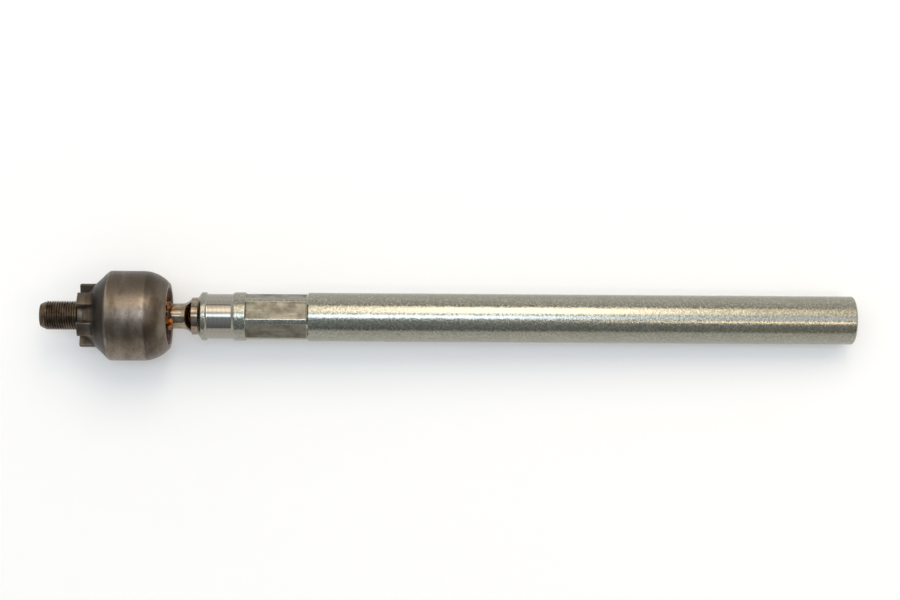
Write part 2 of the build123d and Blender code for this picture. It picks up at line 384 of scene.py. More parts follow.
def move_to_radius(v, radius_mm):
    """Moves a vertex straight in or out to this distance from the X axis."""
    share = radius_mm / along_and_out(v)[1]
    v.co.y *= share
    v.co.z *= share


def cut_across(bm, x_mm, side=1, clear=False, within=CUT_WITHIN):
    """Cuts a mesh square to X, and may clear away what lies on this side of the cut."""
    bmesh.ops.bisect_plane(
        bm,
        geom=bm.verts[:] + bm.edges[:] + bm.faces[:],
        plane_co=(x_mm * MM, 0, 0),
        plane_no=(side, 0, 0),
        dist=within,
        clear_outer=clear,
    )


def open_edges(bm):
    """The edges at which a mesh isn't closed."""
    return [e for e in bm.edges if len(e.link_faces) == 1]


print("cuts take along what lies within", CUT_WITHIN / MM, "mm")

# %% Round corners and make an object
BEVEL_SEGMENTS = 2


def round_corners(bm, size_mm, corner_deg, keep):
    """Bevels the edges sharper than this whose start is one to keep, and says how many."""
    sharp = [
        e
        for e in bm.edges
        if len(e.link_faces) == 2
        and math.degrees(e.calc_face_angle(0)) > corner_deg
        and keep(e.verts[0].co / MM)
    ]
    bmesh.ops.bevel(
        bm,
        geom=sharp,
        offset=size_mm * MM,
        offset_type="OFFSET",
        segments=BEVEL_SEGMENTS,
        profile=0.5,
        affect="EDGES",
        clamp_overlap=True,
        material=-1,
    )
    return len(sharp)


def finish_piece(bm, name, material, body, sharp_deg):
    """Turns a bmesh into an object that rides on a body of the rod."""
    for face in bm.faces:
        face.smooth = True
    for edge in bm.edges:
        if len(edge.link_faces) == 2 and math.degrees(edge.calc_face_angle()) > sharp_deg:
            edge.smooth = False
    mesh = bpy.data.meshes.new(name)
    bm.to_mesh(mesh)
    bm.free()
    mesh.materials.append(material)
    piece = bpy.data.objects.new(name, mesh)
    bpy.context.scene.collection.objects.link(piece)
    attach(piece, body)
    print(name, "has", len(mesh.polygons), "faces")
    return piece


print("corners are rounded in", BEVEL_SEGMENTS, "steps")

# %% [markdown]
# ## The tube's sizes
#
# The finish and the shape of the tube change at the same places, so its sizes come first. Its ends
# and its radius are read from the solid, and the steps in between are given in millimetres, as a
# drawing gives them.

# %% Sizes along the tube
TUBE_START, TUBE_END = tube_low.x / MM, tube_high.x / MM
TUBE_R = tube_high.y / MM
FLANGE_FACE_R = 7.9
FLANGE_R = TUBE_R - 0.05
FLANGE_CONE_LENGTH = 1.5
FLANGE_LENGTH = 3.3
LAND_R = 9.25
LAND_START = TUBE_START + FLANGE_LENGTH + 0.5
LAND_END = LAND_START + 10.2
SHOULDER_START = LAND_END + 1.0
print("boot land from x =", round(LAND_START, 1), "to", round(LAND_END, 1), "mm")

# %% Sizes of the flats
HEX_START, HEX_END = 67.9, 93.1
HEX_LEAD_IN = 0.25
HEX_RUN_OUT = 0.8
CORNER_R = TUBE_R - 0.4
FLAT_R = 8.75
# The solid's flats are turned to the other side by mistake; these face as in the photograph.
HEX_PHASE_DEG = 11.5
print("flats are", 2 * FLAT_R, "mm apart and", round(HEX_END - HEX_START, 1), "mm long")

# %% Sizes of the open end
END_CHAMFER = 0.5
BORE_R = 6.25
THREAD_R = 7.0
THREAD_LENGTH = 60
THREAD_START = TUBE_END - THREAD_LENGTH
THREAD_CHAMFER = 0.9
THREAD_RUN_OUT = 1.2
print("thread from x =", round(THREAD_START, 1), "to", round(TUBE_END, 1), "mm")

# %% [markdown]
# ## Zinc plate
#
# The tube is drawn steel with clear zinc plating: a metal with a fine mottle, where each grain of
# zinc leans its own way and so catches the lamps a little earlier or later. That is a small bump
# and an uneven roughness more than a change of colour. The lands at the socket end were turned
# after drawing, so they carry fine rings and shine more, and the six flats were pressed, which
# leaves them matt, darker and a little stained.

# %% Zinc grain
ZINC_GRAIN = 0.9
PATCH_SIZE = 7
zinc_plate, tree, shader, place = new_finish("zinc_plated_drawn_steel", {"Metallic": 1.0})
grain = add_node(
    tree,
    "ShaderNodeTexNoise",
    {"Vector": place, "Scale": cells_of(ZINC_GRAIN), "Detail": 2.0, "Roughness": 0.6},
).outputs["Fac"]
grain_share = add_node(
    tree,
    "ShaderNodeMapRange",
    {"Value": grain, "From Min": 0.37, "From Max": 0.65},
    interpolation_type="SMOOTHSTEP",
).outputs["Result"]
grain_colour = add_node(
    tree,
    "ShaderNodeMix",
    {0: grain_share, 6: linear("#8a897d"), 7: linear("#a09e92")},
    data_type="RGBA",
).outputs[2]
patches = add_node(
    tree, "ShaderNodeTexNoise", {"Vector": place, "Scale": cells_of(PATCH_SIZE), "Detail": 2.0}
).outputs["Fac"]
patch_share = add_node(
    tree,
    "ShaderNodeMapRange",
    {"Value": patches, "From Min": 0.45, "From Max": 0.75, "To Max": 0.3},
).outputs["Result"]
zinc_colour = add_node(
    tree,
    "ShaderNodeMix",
    {0: patch_share, 6: grain_colour, 7: linear("#85857a")},
    data_type="RGBA",
).outputs[2]
zinc_rough = add_node(
    tree,
    "ShaderNodeMapRange",
    {"Value": grain, "From Min": 0.3, "From Max": 0.7, "To Min": 0.15, "To Max": 0.29},
).outputs["Result"]
# Drawing pulled the tube along X, so the streaks under the grain are long and narrow.
drawn = add_node(
    tree, "ShaderNodeMapping", {"Vector": place, "Scale": (0.06, 1, 1)}
).outputs["Vector"]
streaks = add_node(
    tree, "ShaderNodeTexNoise", {"Vector": drawn, "Scale": cells_of(ZINC_GRAIN), "Detail": 3.0}
).outputs["Fac"]
zinc_height = add_node(
    tree, "ShaderNodeMath", {0: streaks, 1: 0.3, 2: grain_share}, operation="MULTIPLY_ADD"
).outputs[0]
print("zinc grain", ZINC_GRAIN, "mm, patches", PATCH_SIZE, "mm")


# %% Rings on the turned boot land
# The rings are drawn coarser than the tool's real feed, so that they show.
LAND_RING_SPACING = 0.528
RINGS_START, RINGS_END = 52.0, 62.6


def middle_and_half(start_mm, end_mm):
    """A stretch along X as a Compare node wants it, in metres: its middle and half its length."""
    return (start_mm + end_mm) / 2 * MM, (end_mm - start_mm) / 2 * MM


x_place = add_node(tree, "ShaderNodeSeparateXYZ", {"Vector": place}).outputs["X"]
land_middle, land_half = middle_and_half(RINGS_START, RINGS_END)
on_land = add_node(
    tree, "ShaderNodeMath", {0: x_place, 1: land_middle, 2: land_half}, operation="COMPARE"
).outputs[0]
rings = add_node(
    tree,
    "ShaderNodeTexWave",
    {
        "Vector": place,
        "Scale": rings_of(LAND_RING_SPACING),
        "Distortion": 0.6,
        "Detail": 2.0,
        "Detail Scale": 2.0,
    },
    wave_type="BANDS",
    bands_direction="X",
).outputs["Fac"]
ring_colour = add_node(
    tree, "ShaderNodeMix", {0: rings, 6: linear("#87837a"), 7: linear("#a8a299")}, data_type="RGBA"
).outputs[2]
ring_height = add_node(
    tree, "ShaderNodeMath", {0: rings, 1: 0.06}, operation="MULTIPLY"
).outputs[0]
print("rings from x =", RINGS_START, "to", RINGS_END, "mm")

# %% Where the pressed flats lie
# A place is on a flat where it is between the hexagon's ends and nearer the axis than its corners.
FLAT_EDGE = 0.2
BELOW_CORNER_R = 9.5
flats_middle, flats_half = middle_and_half(HEX_START + FLAT_EDGE, HEX_END - FLAT_EDGE)
in_hexagon = add_node(
    tree, "ShaderNodeMath", {0: x_place, 1: flats_middle, 2: flats_half}, operation="COMPARE"
).outputs[0]
cross_section = add_node(
    tree, "ShaderNodeVectorMath", {0: place, 1: (0, 1, 1)}, operation="MULTIPLY"
).outputs[0]
radius = add_node(
    tree, "ShaderNodeVectorMath", {0: cross_section}, operation="LENGTH"
).outputs["Value"]
below_corner = add_node(
    tree, "ShaderNodeMath", {0: radius, 1: BELOW_CORNER_R * MM}, operation="LESS_THAN"
).outputs[0]
on_flat = add_node(
    tree, "ShaderNodeMath", {0: in_hexagon, 1: below_corner}, operation="MULTIPLY"
).outputs[0]
print("flats are matt where the radius is under", BELOW_CORNER_R, "mm")

# %% Scratches and stains on the flats
# The scratches run along the rod, and the stains are a little longer than they are wide.
SCRATCH_WIDTH = 0.7
STAIN_SIZE = 4
drawn_out = add_node(
    tree,
    "ShaderNodeMapping",
    {"Vector": place, "Rotation": (0.3, 0, 0.75), "Scale": (0.05, 1, 1)},
).outputs["Vector"]
scratches = add_node(
    tree,
    "ShaderNodeTexNoise",
    {"Vector": drawn_out, "Scale": cells_of(SCRATCH_WIDTH), "Detail": 2.0},
).outputs["Fac"]
scratch_share = add_node(
    tree, "ShaderNodeMapRange", {"Value": scratches, "From Min": 0.5, "From Max": 0.72}
).outputs["Result"]
scratch_height = add_node(
    tree, "ShaderNodeMath", {0: scratches, 1: 0.25}, operation="MULTIPLY"
).outputs[0]
rubbed = add_node(
    tree, "ShaderNodeMapping", {"Vector": place, "Rotation": (0, 0, 0.6), "Scale": (0.8, 1, 1)}
).outputs["Vector"]
stains = add_node(
    tree,
    "ShaderNodeTexNoise",
    {"Vector": rubbed, "Scale": cells_of(STAIN_SIZE), "Detail": 6.0, "Roughness": 0.65},
).outputs["Fac"]
stain_share = add_node(
    tree,
    "ShaderNodeMapRange",
    {"Value": stains, "From Min": 0.44, "From Max": 0.68, "To Max": 0.75},
).outputs["Result"]
scratched_colour = add_node(
    tree,
    "ShaderNodeMix",
    {0: scratch_share, 6: linear("#726f65"), 7: linear("#817f75")},
    data_type="RGBA",
).outputs[2]
flat_colour = add_node(
    tree,
    "ShaderNodeMix",
    {0: stain_share, 6: scratched_colour, 7: linear("#5a5144")},
    data_type="RGBA",
).outputs[2]
flat_rough = add_node(
    tree,
    "ShaderNodeMapRange",
    {"Value": stains, "From Min": 0.35, "From Max": 0.6, "To Min": 0.28, "To Max": 0.5},
).outputs["Result"]
print("scratches", SCRATCH_WIDTH, "mm wide, stains about", STAIN_SIZE, "mm")

# %% Join grain, rings and flats
LAND_ROUGH = 0.15
colour = add_node(
    tree, "ShaderNodeMix", {0: on_land, 6: zinc_colour, 7: ring_colour}, data_type="RGBA"
).outputs[2]
colour = add_node(
    tree, "ShaderNodeMix", {0: on_flat, 6: colour, 7: flat_colour}, data_type="RGBA"
).outputs[2]
rough = add_node(tree, "ShaderNodeMix", {0: on_land, 2: zinc_rough, 3: LAND_ROUGH}).outputs[0]
rough = add_node(tree, "ShaderNodeMix", {0: on_flat, 2: rough, 3: flat_rough}).outputs[0]
height = add_node(tree, "ShaderNodeMix", {0: on_land, 2: zinc_height, 3: ring_height}).outputs[0]
height = add_node(tree, "ShaderNodeMix", {0: on_flat, 2: height, 3: scratch_height}).outputs[0]
bump = add_node(
    tree, "ShaderNodeBump", {"Height": height, "Distance": 0.013 * MM, "Strength": 1.0}
).outputs["Normal"]
tree.links.new(colour, shader.inputs["Base Color"])
tree.links.new(rough, shader.inputs["Roughness"])
tree.links.new(bump, shader.inputs["Normal"])
print("zinc plate has", len(tree.nodes), "nodes")

# %% [markdown]
# ## The tube
#
# The solid has the tube's true sizes, but its edges are knife sharp, and the real ones catch the
# light because the press and the lathe rounded them. So the tube is spun again with more steps,
# its corners are rounded, and the six flats are pressed in by moving each point of that stretch
# inwards to the hexagon.

# %% Spin the tube
TUBE_STEPS = 180
tube_outline = [
    (TUBE_START, BORE_R),
    (TUBE_START, FLANGE_FACE_R),
    (TUBE_START + FLANGE_CONE_LENGTH, FLANGE_R),
    (TUBE_START + FLANGE_LENGTH, FLANGE_R),
    (LAND_START, LAND_R),
    (LAND_END, LAND_R),
    (SHOULDER_START, TUBE_R),
    (HEX_START, TUBE_R),
    (HEX_START + HEX_LEAD_IN, CORNER_R),
    (HEX_END, CORNER_R),
    (HEX_END + HEX_RUN_OUT, TUBE_R),
    (TUBE_END - END_CHAMFER, TUBE_R),
    (TUBE_END, TUBE_R - END_CHAMFER),
    (TUBE_END, THREAD_R + THREAD_CHAMFER),
    (TUBE_END - THREAD_CHAMFER, THREAD_R),
    (THREAD_START, THREAD_R),
    (THREAD_START - THREAD_RUN_OUT, BORE_R),
]
tube_bm = spin_outline(tube_outline, TUBE_STEPS)
print("tube outline has", len(tube_outline), "corners and", len(tube_bm.faces), "faces")

# %% Cut rows of points for the ends of the flats
# The first row falls on points that are there already, so these cuts reach a little further.
ROW_STEP = 0.35
ROW_WITHIN = 1e-7
rows = [ROW_STEP * i for i in (1, 2, 3)]
for x_mm in [HEX_START + HEX_LEAD_IN + row for row in rows] + [HEX_END - row for row in rows]:
    cut_across(tube_bm, x_mm, within=ROW_WITHIN)
print("tube has", len(tube_bm.faces), "faces after the cuts")

# %% Press the six flats
# Near its two ends the press ran out, so a flat comes up there in a short curve.
SIDE_DEG = 60
PRESS_START, PRESS_END = HEX_START + 0.2, HEX_END + 0.1
PRESS_CURVE = 0.6
OUTSIDE_R = 9
pressed = 0
for v in tube_bm.verts:
    x, r = along_and_out(v)
    if PRESS_START < x < PRESS_END and r > OUTSIDE_R:
        angle = math.degrees(math.atan2(v.co.z, v.co.y)) - HEX_PHASE_DEG
        from_flat = (angle + SIDE_DEG / 2) % SIDE_DEG - SIDE_DEG / 2
        flat_r = FLAT_R / math.cos(math.radians(from_flat))
        from_start = (x - HEX_START) / PRESS_CURVE
        from_end = (HEX_END + HEX_LEAD_IN - x) / PRESS_CURVE
        end_share = min(1.0, from_start, from_end)
        flat_r += (CORNER_R - flat_r) * (1 - end_share) ** 2
        move_to_radius(v, min(r, flat_r))
        pressed += 1
print("pressed", pressed, "points")

# %% Round the tube's corners
TUBE_CORNER = 0.14
TUBE_CORNER_DEG = 22
TUBE_SHARP_DEG = 30
HEX_EDGE = 0.3


def off_the_hexagon(point_mm):
    """Whether a point is outside the flats, whose edges the press left as they are."""
    return not HEX_START + HEX_EDGE < point_mm.x < HEX_END - HEX_EDGE


rounded = round_corners(tube_bm, TUBE_CORNER, TUBE_CORNER_DEG, off_the_hexagon)
bmesh.ops.recalc_face_normals(tube_bm, faces=tube_bm.faces)
tube_piece = finish_piece(tube_bm, "plated_tube", zinc_plate, "rod", TUBE_SHARP_DEG)
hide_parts("rod_tube")
print("rounded", rounded, "edges of the tube")

# %% [markdown]
# ## Screw threads
#
# A screw thread is one tooth carried round and along at once. Stacked rings would look much the
# same from far away, but the ends would give them away, so the tooth is spun with a small step
# along X: after one turn it meets its own start, and the two are merged.

# %% Wind a thread
# One tooth from root to root, as shares of the pitch.
ROOT_END, CREST_START, CREST_END = 0.25, 0.56, 0.69


def wind_thread(ends_mm, pitch_mm, root_mm, crest_mm, steps_a_turn):
    """A helical tooth between two places on X, with its root and crest at these radii."""
    start_mm, end_mm = ends_mm
    turns = math.ceil((end_mm - start_mm) / pitch_mm) + 2
    tooth = [
        (0.0, root_mm),
        (ROOT_END, root_mm),
        (CREST_START, crest_mm),
        (CREST_END, crest_mm),
        (1.0, root_mm),
    ]
    bm = bmesh.new()
    # The tooth starts before the first place and ends past the last, and both ends are cut off.
    first_x = start_mm - 1.5 * pitch_mm
    points = [bm.verts.new(((first_x + share * pitch_mm) * MM, 0, r * MM)) for share, r in tooth]
    for first, second in zip(points, points[1:]):
        bm.edges.new((first, second))
    bmesh.ops.spin(
        bm,
        geom=bm.verts[:] + bm.edges[:],
        cent=(0, 0, 0),
        axis=(1, 0, 0),
        angle=2 * math.pi * turns,
        steps=steps_a_turn * turns,
        dvec=(pitch_mm * MM / steps_a_turn, 0, 0),
    )
    bmesh.ops.remove_doubles(bm, verts=bm.verts, dist=0.002 * MM)
    cut_across(bm, start_mm, side=-1, clear=True)
    cut_across(bm, end_mm, side=1, clear=True)
    return bm


print("a tooth is", round(CREST_END - CREST_START, 2), "of its pitch wide at the crest")

# %% [markdown]
# ## The socket
#
# The socket is one forging that was turned, hardened, filled and rolled shut over the ball. Its
# steel was never plated: it is brown-grey from heat and oil, brighter on the barrel, where the
# lathe cut it, and darker on the cone and on the rolled lip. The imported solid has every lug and
# edge, so a copy of it is used, and only its plain stud is cut off to make room for a threaded one.

# %% Smears and specks on turned steel
SMEAR_SIZE = 9
SPECK_SIZE = 0.8
socket_steel, tree, shader, place = new_finish("oiled_turned_steel", {"Metallic": 1.0})
x_place = add_node(tree, "ShaderNodeSeparateXYZ", {"Vector": place}).outputs["X"]
smear_place = add_node(
    tree, "ShaderNodeMapping", {"Vector": place, "Scale": (1.6, 0.6, 0.6)}
).outputs["Vector"]
smears = add_node(
    tree,
    "ShaderNodeTexNoise",
    {"Vector": smear_place, "Scale": cells_of(SMEAR_SIZE), "Detail": 4.0, "Roughness": 0.6},
).outputs["Fac"]
smear_share = add_node(
    tree,
    "ShaderNodeMapRange",
    {"Value": smears, "From Min": 0.35, "From Max": 0.65},
    interpolation_type="SMOOTHSTEP",
).outputs["Result"]
specks = add_node(
    tree, "ShaderNodeTexNoise", {"Vector": place, "Scale": cells_of(SPECK_SIZE), "Detail": 3.0}
).outputs["Fac"]
speck_share = add_node(
    tree,
    "ShaderNodeMapRange",
    {"Value": specks, "From Min": 0.5, "From Max": 0.75, "To Max": 0.28},
).outputs["Result"]
print("smears about", SMEAR_SIZE, "mm, specks", SPECK_SIZE, "mm")

# %% From forging scale to cut steel
# Share of cut steel along X in mm: brown lugs, black scale on the cone, the barrel and the dome.
RAMP_LENGTH = 40
CUT_SHARES = (
    (5.0, 0.55),
    (7.5, 0.0),
    (11.4, 0.1),
    (12.3, 1.0),
    (27.4, 1.0),
    (28.3, 0.5),
    (30.0, 0.62),
    (34.0, 0.85),
)
along = add_node(
    tree,
    "ShaderNodeMapRange",
    {"Value": x_place, "From Min": 0.0, "From Max": RAMP_LENGTH * MM},
).outputs["Result"]
ramp = add_node(tree, "ShaderNodeValToRGB", {"Fac": along})
stops = ramp.color_ramp.elements
for stop, (x_mm, share) in zip(stops, (CUT_SHARES[0], CUT_SHARES[-1])):
    stop.position, stop.color = x_mm / RAMP_LENGTH, (share, share, share, 1)
for x_mm, share in CUT_SHARES[1:-1]:
    stops.new(x_mm / RAMP_LENGTH).color = (share, share, share, 1)
barrel_colour = add_node(
    tree,
    "ShaderNodeMix",
    {0: smear_share, 6: linear("#62574b"), 7: linear("#84796d")},
    data_type="RGBA",
).outputs[2]
scale_colour = add_node(
    tree,
    "ShaderNodeMix",
    {0: smear_share, 6: linear("#1d1916"), 7: linear("#332b25")},
    data_type="RGBA",
).outputs[2]
steel_colour = add_node(
    tree,
    "ShaderNodeMix",
    {0: ramp.outputs["Color"], 6: scale_colour, 7: barrel_colour},
    data_type="RGBA",
).outputs[2]
print("socket steel changes at", len(stops), "places")

# %% Painted shade on one side, specks and a painted highlight on the corner
# Painted shade: the side towards +Y is darkened, and the smears make the edge of that shade ragged.
SHADE_RAGGED = 22
SHADE_START, SHADE_FULL = 17, 27
HIGHLIGHT_START, HIGHLIGHT_END = 12.05, 12.75
side_place = add_node(tree, "ShaderNodeSeparateXYZ", {"Vector": place}).outputs["Y"]
shade_edge = add_node(
    tree,
    "ShaderNodeMath",
    {0: smears, 1: SHADE_RAGGED * MM, 2: side_place},
    operation="MULTIPLY_ADD",
).outputs[0]
painted_shade_share = add_node(
    tree,
    "ShaderNodeMapRange",
    {
        "Value": shade_edge,
        "From Min": SHADE_START * MM,
        "From Max": SHADE_FULL * MM,
        "To Max": 0.55,
    },
    interpolation_type="SMOOTHSTEP",
).outputs["Result"]
# Painted shade: a dark colour laid over the +Y side of the socket.
shaded_colour = add_node(
    tree, "ShaderNodeMix", {0: painted_shade_share, 6: steel_colour, 7: linear("#2c241a")}, data_type="RGBA"
).outputs[2]
specked_colour = add_node(
    tree,
    "ShaderNodeMix",
    {0: speck_share, 6: shaded_colour, 7: linear("#3a3029")},
    data_type="RGBA",
).outputs[2]
# Painted highlight: a bright line along the barrel's corner, broken up by the smears.
corner_middle, corner_half = middle_and_half(HIGHLIGHT_START, HIGHLIGHT_END)
at_corner = add_node(
    tree, "ShaderNodeMath", {0: x_place, 1: corner_middle, 2: corner_half}, operation="COMPARE"
).outputs[0]
highlighted = add_node(
    tree, "ShaderNodeMath", {0: at_corner, 1: smear_share}, operation="MULTIPLY"
).outputs[0]
colour = add_node(
    tree, "ShaderNodeMix", {0: highlighted, 6: specked_colour, 7: linear("#8d8377")}, data_type="RGBA"
).outputs[2]
print("corner is worn from x =", HIGHLIGHT_START, "to", HIGHLIGHT_END, "mm")

# %% Turning marks and shine
# The marks are drawn coarser than the tool's real feed, so that they show.
SOCKET_RING_SPACING = 0.6286
rough = add_node(
    tree,
    "ShaderNodeMapRange",
    {"Value": specks, "From Min": 0.3, "From Max": 0.7, "To Min": 0.3, "To Max": 0.44},
).outputs["Result"]
turning = add_node(
    tree,
    "ShaderNodeTexWave",
    {
        "Vector": place,
        "Scale": rings_of(SOCKET_RING_SPACING),
        "Distortion": 0.8,
        "Detail": 2.0,
    },
    wave_type="BANDS",
    bands_direction="X",
).outputs["Fac"]
height = add_node(
    tree, "ShaderNodeMath", {0: turning, 1: 0.12, 2: specks}, operation="MULTIPLY_ADD"
).outputs[0]
bump = add_node(
    tree, "ShaderNodeBump", {"Height": height, "Distance": 0.03 * MM, "Strength": 1.0}
).outputs["Normal"]
tree.links.new(colour, shader.inputs["Base Color"])
tree.links.new(rough, shader.inputs["Roughness"])
tree.links.new(bump, shader.inputs["Normal"])
print("socket steel has", len(tree.nodes), "nodes")

# %% Copy the socket and cut off its plain stud
STUD_CUT = -0.01
SOCKET_SHARP_DEG = 30
socket_bm = bmesh.new()
socket_bm.from_mesh(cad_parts["socket_housing"].data)
bmesh.ops.remove_doubles(socket_bm, verts=socket_bm.verts, dist=0.0005 * MM)
cut_across(socket_bm, STUD_CUT, side=-1, clear=True)
rim = open_edges(socket_bm)
bmesh.ops.holes_fill(socket_bm, edges=rim, sides=0)
print("stud cut off:", len(rim), "edges closed,", len(open_edges(socket_bm)), "open")
socket_piece = finish_piece(
    socket_bm, "castellated_socket", socket_steel, "socket", SOCKET_SHARP_DEG
)
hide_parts("socket_housing")

# %% [markdown]
# The stud's thread is M12x1. It is cut from plain stock at the thread's outer radius, runs out
# into full stock just before the lugs, and ends in a turned point at its tip.

# %% The threaded rack stud
STUD_TIP = socket_low.x / MM
STUD_END = 0.4
STUD_R = 6.0
STUD_PITCH = 1.0
STUD_ROOT_R = STUD_R - 0.58
STUD_CREST_R = STUD_R - 0.02
STUD_RUN_OUT = -1.0
STUD_STEPS = 48
TIP_R = 4.75
POINT_LENGTH = 2.6
# The point stays this far inside the solid's.
POINT_INSET = 0.01
stud_bm = wind_thread((STUD_TIP, STUD_END), STUD_PITCH, STUD_ROOT_R, STUD_CREST_R, STUD_STEPS)
for v in stud_bm.verts:
    x, r = along_and_out(v)
    point_r = TIP_R + (STUD_R - TIP_R) * (x - STUD_TIP) / POINT_LENGTH
    full_share = min(1.0, max(0.0, x - STUD_RUN_OUT))
    move_to_radius(v, min(r + (STUD_CREST_R - r) * full_share, point_r - POINT_INSET))
bmesh.ops.holes_fill(stud_bm, edges=open_edges(stud_bm), sides=0)
bmesh.ops.recalc_face_normals(stud_bm, faces=stud_bm.faces)
print("stud: open edges left", len(open_edges(stud_bm)))

# %% Dark oiled steel for the threads
# A cut thread that was only oiled is dark and satin, with brown where the oil has dried.
OIL_STAIN = 3
THREAD_SHARP_DEG = 50
thread_steel, tree, shader, place = new_finish("dark_oiled_thread_steel", {"Metallic": 1.0})
oil = add_node(
    tree, "ShaderNodeTexNoise", {"Vector": place, "Scale": cells_of(OIL_STAIN), "Detail": 3.0}
).outputs["Fac"]
oil_share = add_node(
    tree, "ShaderNodeMapRange", {"Value": oil, "From Min": 0.35, "From Max": 0.65}
).outputs["Result"]
colour = add_node(
    tree,
    "ShaderNodeMix",
    {0: oil_share, 6: linear("#43372c"), 7: linear("#706151")},
    data_type="RGBA",
).outputs[2]
rough = add_node(
    tree, "ShaderNodeMapRange", {"Value": oil, "To Min": 0.22, "To Max": 0.36}
).outputs["Result"]
tree.links.new(colour, shader.inputs["Base Color"])
tree.links.new(rough, shader.inputs["Roughness"])
finish_piece(
    stud_bm, "rack_stud_thread", thread_steel, "socket", THREAD_SHARP_DEG
)

# %% [markdown]
# ## Ball, neck and collar
#
# The ball stud is ground and polished, so it mirrors the room more sharply than anything else
# here. Its solid is smooth and round enough to stay as it is and only takes a new material. Where
# the neck leaves the ball it is wet with amber grease, which is drawn as a colour that gives way
# to steel along X.

# %% Polished steel with a film of grease
FILM_CELL = 2.2
FILM_RAGGED = 3
WET_UNTIL, DRY_FROM = 38.6, 40.4
ball_steel, tree, shader, place = new_finish("polished_ball_steel", {"Metallic": 1.0})
x_place = add_node(tree, "ShaderNodeSeparateXYZ", {"Vector": place}).outputs["X"]
film = add_node(
    tree, "ShaderNodeTexNoise", {"Vector": place, "Scale": cells_of(FILM_CELL), "Detail": 3.0}
).outputs["Fac"]
film_edge = add_node(
    tree,
    "ShaderNodeMath",
    {0: film, 1: FILM_RAGGED * MM, 2: x_place},
    operation="MULTIPLY_ADD",
).outputs[0]
dry = add_node(
    tree,
    "ShaderNodeMapRange",
    {"Value": film_edge, "From Min": WET_UNTIL * MM, "From Max": DRY_FROM * MM},
).outputs["Result"]
tint = add_node(
    tree, "ShaderNodeMapRange", {"Value": film, "From Min": 0.35, "From Max": 0.65}
).outputs["Result"]
steel = add_node(
    tree, "ShaderNodeMix", {0: tint, 6: linear("#7b6f60"), 7: linear("#988a78")}, data_type="RGBA"
).outputs[2]
wet = add_node(
    tree, "ShaderNodeMix", {0: tint, 6: linear("#2c1408"), 7: linear("#8a4a16")}, data_type="RGBA"
).outputs[2]
colour = add_node(
    tree, "ShaderNodeMix", {0: dry, 6: wet, 7: steel}, data_type="RGBA"
).outputs[2]
rough = add_node(
    tree, "ShaderNodeMapRange", {"Value": film, "To Min": 0.05, "To Max": 0.11}
).outputs["Result"]
tree.links.new(colour, shader.inputs["Base Color"])
tree.links.new(rough, shader.inputs["Roughness"])
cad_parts["ball_stud"].material_slots[0].material = ball_steel
film_start = round(WET_UNTIL - FILM_RAGGED, 1)
print("film of grease thins out between x =", film_start, "and", DRY_FROM, "mm")

# %% [markdown]
# ## Grease
#
# Lithium grease is amber, half clear and wet. What shows is a lumpy ring that the rolled lip
# squeezed up round the neck. Half of it stays on the lip and half goes with the neck, so it is
# made as two rings with a gap between them wide enough for the rod's swing.

# %% Amber grease
LUMP_SIZE = 2.4
NECK_SIDE_R, LIP_SIDE_R = 6, 11
grease_look, tree, shader, place = new_finish(
    "amber_lithium_grease",
    {
        "Roughness": 0.22,
        "IOR": 1.4,
        "Specular IOR Level": 0.3,
        "Subsurface Weight": 0.25,
        "Subsurface Radius": (1.2, 0.5, 0.1),
        "Subsurface Scale": MM,
    },
)
lumps = add_node(
    tree, "ShaderNodeTexNoise", {"Vector": place, "Scale": cells_of(LUMP_SIZE), "Detail": 3.0}
).outputs["Fac"]
lump_share = add_node(
    tree, "ShaderNodeMapRange", {"Value": lumps, "From Min": 0.43, "From Max": 0.66}
).outputs["Result"]
# It is lighter amber towards the neck and darker out towards the lip.
cross_section = add_node(
    tree, "ShaderNodeVectorMath", {0: place, 1: (0, 1, 1)}, operation="MULTIPLY"
).outputs[0]
radius = add_node(
    tree, "ShaderNodeVectorMath", {0: cross_section}, operation="LENGTH"
).outputs["Value"]
towards_neck = add_node(
    tree,
    "ShaderNodeMapRange",
    {
        "Value": radius,
        "From Min": NECK_SIDE_R * MM,
        "From Max": LIP_SIDE_R * MM,
        "To Min": 1.0,
        "To Max": 0.3,
    },
).outputs["Result"]
amber = add_node(
    tree, "ShaderNodeMath", {0: lump_share, 1: towards_neck}, operation="MULTIPLY"
).outputs[0]
colour = add_node(
    tree, "ShaderNodeMix", {0: amber, 6: linear("#240e05"), 7: linear("#d07a20")}, data_type="RGBA"
).outputs[2]
bump = add_node(
    tree, "ShaderNodeBump", {"Height": lumps, "Distance": 0.5 * MM, "Strength": 1.0}
).outputs["Normal"]
tree.links.new(colour, shader.inputs["Base Color"])
tree.links.new(bump, shader.inputs["Normal"])
print("grease lumps are about", LUMP_SIZE, "mm")

# %% Grease on the neck and in the lip
RING_STEPS = 96
LUMPS_A_MM = 0.5
GREASE_SHARP_DEG = 60


def lumpy_ring(name, outline_mm, body, push_mm):
    """A ring of grease from an outline of (x, radius), pushed about along X by noise."""
    bm = spin_outline(outline_mm, RING_STEPS)
    for v in bm.verts:
        v.co.x += noise.noise(v.co / MM * LUMPS_A_MM) * push_mm * MM
    finish_piece(bm, name, grease_look, body, GREASE_SHARP_DEG)


neck_outline = [
    (35.6, 5.6),
    (35.5, 6.0),
    (36.2, 5.95),
    (37.0, 5.8),
    (37.6, 5.55),
    (38.0, 5.2),
    (37.5, 5.0),
    (36, 5.0),
]
lip_outline = [(33.4, 10.6), (34.6, 10.9), (35.4, 11.3), (35.7, 11.7), (34.6, 12.0), (33.2, 12.0)]
lumpy_ring("grease_on_neck", neck_outline, "rod", 1.6)
lumpy_ring("grease_in_lip", lip_outline, "socket", 0.25)

# %% [markdown]
# ## Seat and spring
#
# The two seat rings are moulded acetal, a slippery plastic that looks slightly waxy, and the disc
# spring behind them is steel that was blued by heat, so it shifts between slate blue and brown.
# They are hidden in the closed socket, but their finishes matter to anyone who takes the model
# apart.

